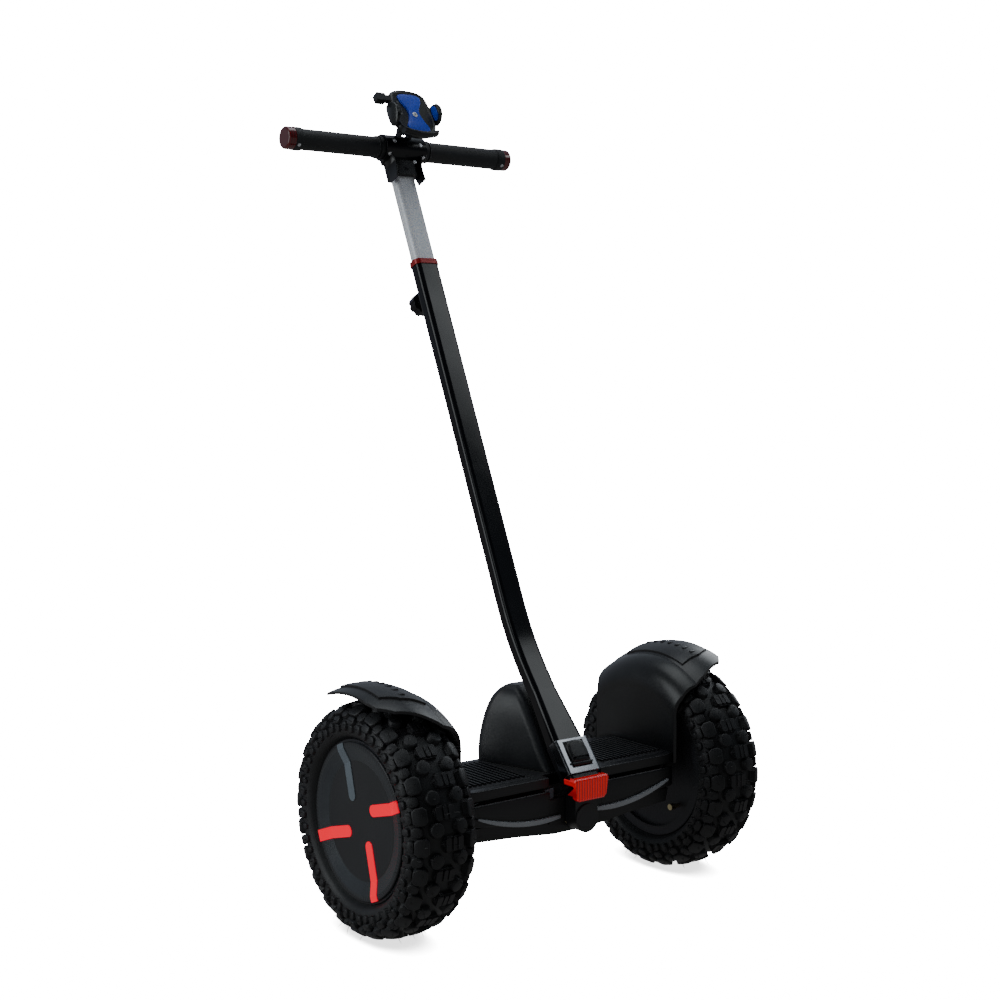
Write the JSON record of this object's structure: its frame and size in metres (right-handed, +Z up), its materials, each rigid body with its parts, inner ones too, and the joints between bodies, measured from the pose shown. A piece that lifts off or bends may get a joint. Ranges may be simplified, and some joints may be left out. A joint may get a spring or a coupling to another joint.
{
  "type": "self-balancing two-wheel scooter",
  "caption": "Two-wheel self-balancing scooter with balloon off-road tyres, ribbed foot pads, a leaning telescopic steering stem, handlebar and phone holder.",
  "frame": {"origin": "on the ground, below the middle of the axle line", "axes": "+X to the rider's right along the axles, +Y the way it travels, +Z up; the stem leans forward, to +Y"},
  "size_m": [0.608, 0.5063, 1.1589],
  "materials": {
    "body_plastic": "satin",
    "hump_plastic": "satin",
    "trim_silver": "metallic gloss",
    "clear_lens": "clear",
    "cast_alloy": "cast",
    "tube_alloy": "fine blasted",
    "tube_black": "gloss",
    "red_plastic": "gloss",
    "red_lamp": "translucent gloss",
    "chrome_trim": "polished",
    "steel": "machined",
    "iron": "laminated",
    "tyre_rubber": "matte",
    "mat_rubber": "ribbed",
    "grip_rubber": "fine ribbed",
    "cap_plastic": "satin",
    "blue_pad": "soft",
    "brass_fitting": "plain",
    "battery_wrap": "film",
    "board_green": "coated"
  },
  "bodies": {
    "chassis": {"main_frame": "cast_alloy", "belly_cover": "body_plastic", "deck_cover": "body_plastic", "center_hump": "hump_plastic", "rear_fascia": "body_plastic", "front_fascia": "body_plastic", "headlight_lens": "clear_lens", "rear_light_strips": "trim_silver", "fender_left": "body_plastic", "fender_right": "body_plastic", "fender_plates": "hump_plastic", "foot_sensor_boards": "board_green", "battery_pack": "battery_wrap", "control_board": "board_green", "steering_bearings": "brass_fitting", "centring_spring": "mat_rubber", "charge_port": "body_plastic", "axle_shafts": "steel", "motor_stators": "iron", "axle_clamps": "cast_alloy", "cover_screws": "steel"},
    "foot_mat_left": {"foot_mat_left": "mat_rubber"},
    "foot_mat_right": {"foot_mat_right": "mat_rubber"},
    "power_button": {"power_button": "trim_silver"},
    "charge_port_cap": {"charge_port_cap": "mat_rubber"},
    "column": {"column_socket": "cast_alloy", "latch_frame": "chrome_trim", "tail_lamp": "red_lamp"},
    "latch": {"latch_lever": "body_plastic"},
    "stem": {"stem_tube": "tube_black", "stem_collar": "red_plastic"},
    "knob": {"clamp_knob": "body_plastic"},
    "handlebar": {"inner_tube": "tube_alloy", "handlebar_head": "body_plastic", "handlebar_core": "steel", "grip_left": "grip_rubber", "grip_right": "grip_rubber", "end_lamps": "red_lamp"},
    "phone_arm": {"phone_mount": "body_plastic"},
    "phone_plate": {"phone_cradle": "body_plastic", "phone_pad": "blue_pad"},
    "phone_jaw_left": {"phone_jaw_left": "body_plastic"},
    "phone_jaw_right": {"phone_jaw_right": "body_plastic"},
    "phone_release": {"phone_release_button": "body_plastic"},
    "wheel_left": {"tyre_left": "tyre_rubber", "wheel_rim_left": "cast_alloy", "magnet_ring_left": "iron", "motor_cover_left": "cast_alloy", "hub_cap_left": "cap_plastic", "hub_cap_inserts_left": "red_plastic", "valve_left": "brass_fitting", "wheel_bearings_left": "steel"},
    "wheel_right": {"tyre_right": "tyre_rubber", "wheel_rim_right": "cast_alloy", "magnet_ring_right": "iron", "motor_cover_right": "cast_alloy", "hub_cap_right": "cap_plastic", "hub_cap_inserts_right": "red_plastic", "valve_right": "brass_fitting", "wheel_bearings_right": "steel"}
  },
  "joints": [
    {"name": "wheel_spin_left", "type": "hinge", "parent": "chassis", "child": "wheel_left", "pos_m": [-0.253, 0, 0.155], "axis": [1, 0, 0], "continuous": true},
    {"name": "wheel_spin_right", "type": "hinge", "parent": "chassis", "child": "wheel_right", "pos_m": [0.253, 0, 0.155], "axis": [1, 0, 0], "continuous": true},
    {"name": "steering_lean", "type": "hinge", "parent": "chassis", "child": "column", "pos_m": [0, 0, 0.135], "axis": [0, 1, 0], "range_deg": [-10, 10], "stiffness_Nm_per_rad": 60},
    {"name": "latch_open", "type": "hinge", "parent": "column", "child": "latch", "pos_m": [0, -0.1006, 0.20792], "axis": [1, 0, 0], "range_deg": [0, 75]},
    {"name": "stem_release", "type": "slide", "parent": "column", "child": "stem", "axis": [0, 0.6088, 0.7934], "range_m": [0, 0.06]},
    {"name": "height_adjust", "type": "slide", "parent": "stem", "child": "handlebar", "axis": [0, 0.3987, 0.9171], "range_m": [-0.135, 0.06]},
    {"name": "clamp_knob_turn", "type": "hinge", "parent": "stem", "child": "knob", "pos_m": [0, 0.2711, 0.83753], "axis": [0, 0.9171, -0.3987], "range_deg": [0, 360]},
    {"name": "phone_tilt", "type": "hinge", "parent": "handlebar", "child": "phone_arm", "pos_m": [0, 0.318, 1.097], "axis": [1, 0, 0], "range_deg": [-35, 20]},
    {"name": "phone_turn", "type": "hinge", "parent": "phone_arm", "child": "phone_plate", "pos_m": [0, 0.299, 1.119], "axis": [0, -0.8572, 0.515], "range_deg": [-90, 90]},
    {"name": "phone_jaw_right_open", "type": "slide", "parent": "phone_plate", "child": "phone_jaw_right", "axis": [1, 0, 0], "range_m": [0, 0.02]},
    {"name": "phone_jaw_left_open", "type": "slide", "parent": "phone_plate", "child": "phone_jaw_left", "axis": [-1, 0, 0], "range_m": [0, 0.02]},
    {"name": "phone_release_press", "type": "slide", "parent": "phone_plate", "child": "phone_release", "axis": [1, 0, 0], "range_m": [0, 0.003], "stiffness_N_per_m": 300},
    {"name": "power_button_press", "type": "slide", "parent": "chassis", "child": "power_button", "axis": [0, -1, 0], "range_m": [0, 0.0015], "stiffness_N_per_m": 800},
    {"name": "charge_cap_open", "type": "hinge", "parent": "chassis", "child": "charge_port_cap", "pos_m": [-0.095, 0.0922, 0.173], "axis": [1, 0, 0], "range_deg": [0, 100]},
    {"name": "foot_press_left", "type": "slide", "parent": "chassis", "child": "foot_mat_left", "axis": [0, 0, -1], "range_m": [0, 0.0012], "stiffness_N_per_m": 20000},
    {"name": "foot_press_right", "type": "slide", "parent": "chassis", "child": "foot_mat_right", "axis": [0, 0, -1], "range_m": [0, 0.0012], "stiffness_N_per_m": 20000}
  ],
  "couplings": [
    {"joint": "phone_jaw_left_open", "follows": "phone_jaw_right_open", "ratio": 1}
  ]
}
